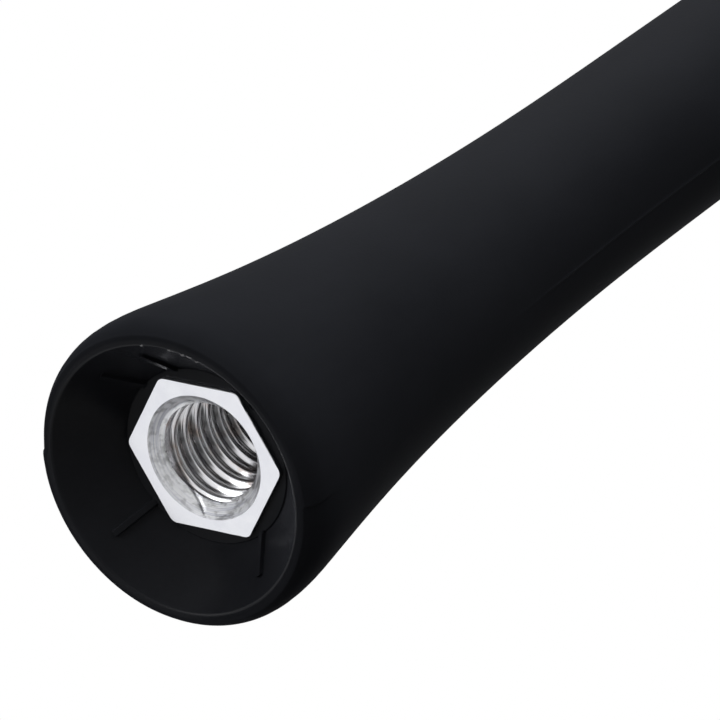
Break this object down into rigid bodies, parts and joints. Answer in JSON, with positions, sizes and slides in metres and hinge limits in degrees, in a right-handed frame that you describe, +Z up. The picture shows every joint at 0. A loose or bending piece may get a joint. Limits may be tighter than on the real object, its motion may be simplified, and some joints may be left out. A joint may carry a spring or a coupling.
{
  "type": "car mast aerial",
  "caption": "Short rubber car mast aerial: slim tapered black mast on a flared base, with a threaded hexagonal metal insert set back in its open mouth.",
  "frame": {"origin": "middle of the mouth, in the plane that the rim stands on", "axes": "+Z up the mast towards its tip, +X through a corner of the hexagonal insert and the jacket's mould seam"},
  "size_m": [0.016, 0.016, 0.23],
  "materials": {
    "black_rubber": "satin moulded rubber with a fine matt grain",
    "plated_brass": "bright nickel plate over turned brass",
    "fibreglass": "drawn fibreglass rod",
    "copper_wire": "enamelled copper wire",
    "sleeve_plastic": "shrunk plastic sleeve"
  },
  "bodies": {
    "root": {"jacket": "black_rubber", "threaded_insert": "plated_brass", "core_rod": "fibreglass", "winding": "copper_wire", "shrink_sleeve": "sleeve_plastic"}
  },
  "joints": []
}
